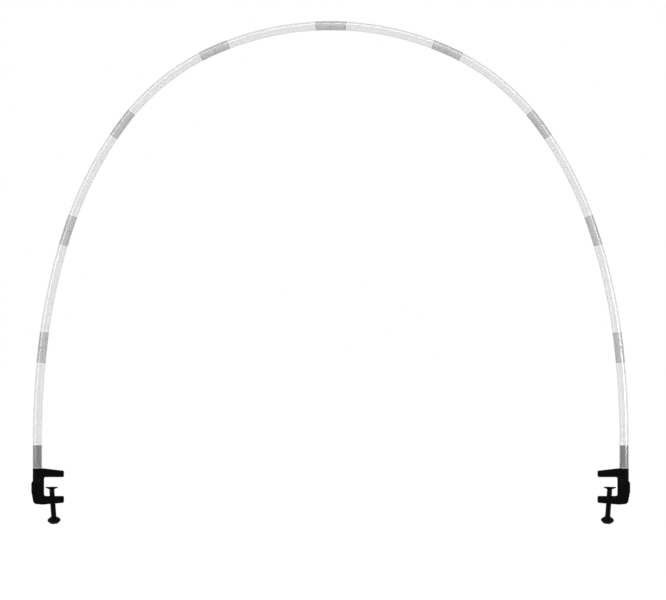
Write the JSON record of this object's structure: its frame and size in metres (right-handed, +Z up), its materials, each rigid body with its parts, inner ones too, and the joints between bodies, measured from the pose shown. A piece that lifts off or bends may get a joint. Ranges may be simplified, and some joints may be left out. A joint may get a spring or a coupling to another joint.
{
  "type": "table arch frame",
  "caption": "Slim half-round table-top arch of joined plastic tubes, with a screw clamp that swivels on a post at the foot of each leg.",
  "frame": {"origin": "midway between the two clamps, on the table plane that the undersides of both upper jaws lie in", "axes": "+X along the table from the left leg to the right leg, +Y across the table away from the viewer, +Z up"},
  "size_m": [1.273, 0.028, 1.0702],
  "materials": {
    "tube_plastic": "milky, slightly see-through, glossy",
    "connector_plastic": "pale grey, satin",
    "black_plastic": "black, moulded, satin",
    "pin_steel": "blackened, plain cut"
  },
  "bodies": {
    "arch": {"crown_connector": "connector_plastic", "left_crown_tube": "tube_plastic", "left_shoulder_tube": "tube_plastic", "left_upper_tube": "tube_plastic", "left_lower_tube": "tube_plastic", "left_base_tube": "tube_plastic", "left_crown_connector": "connector_plastic", "left_shoulder_connector": "connector_plastic", "left_upper_connector": "connector_plastic", "left_lower_connector": "connector_plastic", "right_crown_tube": "tube_plastic", "right_shoulder_tube": "tube_plastic", "right_upper_tube": "tube_plastic", "right_lower_tube": "tube_plastic", "right_base_tube": "tube_plastic", "right_crown_connector": "connector_plastic", "right_shoulder_connector": "connector_plastic", "right_upper_connector": "connector_plastic", "right_lower_connector": "connector_plastic"},
    "left_leg_post": {"left_post": "black_plastic", "left_seat_ring": "connector_plastic"},
    "left_clamp": {"left_clamp_frame": "black_plastic", "left_post_pin": "pin_steel"},
    "left_travel": {"left_swivel_stud": "black_plastic"},
    "left_spindle": {"left_screw": "black_plastic", "left_knob": "black_plastic"},
    "left_foot": {"left_pad": "black_plastic"},
    "right_leg_post": {"right_post": "black_plastic", "right_seat_ring": "connector_plastic"},
    "right_clamp": {"right_clamp_frame": "black_plastic", "right_post_pin": "pin_steel"},
    "right_travel": {"right_swivel_stud": "black_plastic"},
    "right_spindle": {"right_screw": "black_plastic", "right_knob": "black_plastic"},
    "right_foot": {"right_pad": "black_plastic"}
  },
  "joints": [
    {"name": "left_post_pull_out", "type": "slide", "parent": "arch", "child": "left_leg_post", "axis": [0, 0, -1], "range_m": [0, 0.05]},
    {"name": "left_clamp_swivel", "type": "hinge", "parent": "left_leg_post", "child": "left_clamp", "pos_m": [-0.62394, 0, 0.0183], "axis": [0, 0, 1], "continuous": true},
    {"name": "left_screw_travel", "type": "slide", "parent": "left_clamp", "child": "left_travel", "axis": [-0.0732, 0, 0.9973], "range_m": [-0.0065, 0.018]},
    {"name": "left_screw_turn", "type": "hinge", "parent": "left_travel", "child": "left_spindle", "pos_m": [-0.59174, 0, -0.048], "axis": [-0.0732, 0, 0.9973], "range_deg": [-937, 2593]},
    {"name": "left_pad_tilt", "type": "hinge", "parent": "left_travel", "child": "left_foot", "pos_m": [-0.59356, 0, -0.02317], "axis": [0, 1, 0], "range_deg": [-8, 2]},
    {"name": "right_post_pull_out", "type": "slide", "parent": "arch", "child": "right_leg_post", "axis": [0, 0, -1], "range_m": [0, 0.05]},
    {"name": "right_clamp_swivel", "type": "hinge", "parent": "right_leg_post", "child": "right_clamp", "pos_m": [0.62394, 0, 0.0183], "axis": [0, 0, 1], "continuous": true},
    {"name": "right_screw_travel", "type": "slide", "parent": "right_clamp", "child": "right_travel", "axis": [0.0732, 0, 0.9973], "range_m": [-0.0065, 0.018]},
    {"name": "right_screw_turn", "type": "hinge", "parent": "right_travel", "child": "right_spindle", "pos_m": [0.59174, 0, -0.048], "axis": [0.0732, 0, 0.9973], "range_deg": [-937, 2593]},
    {"name": "right_pad_tilt", "type": "hinge", "parent": "right_travel", "child": "right_foot", "pos_m": [0.59356, 0, -0.02317], "axis": [0, -1, 0], "range_deg": [-8, 2]}
  ],
  "couplings": [
    {"joint": "left_screw_turn", "follows": "left_screw_travel", "rad_per_m": 2513.3},
    {"joint": "right_screw_turn", "follows": "right_screw_travel", "rad_per_m": 2513.3}
  ]
}
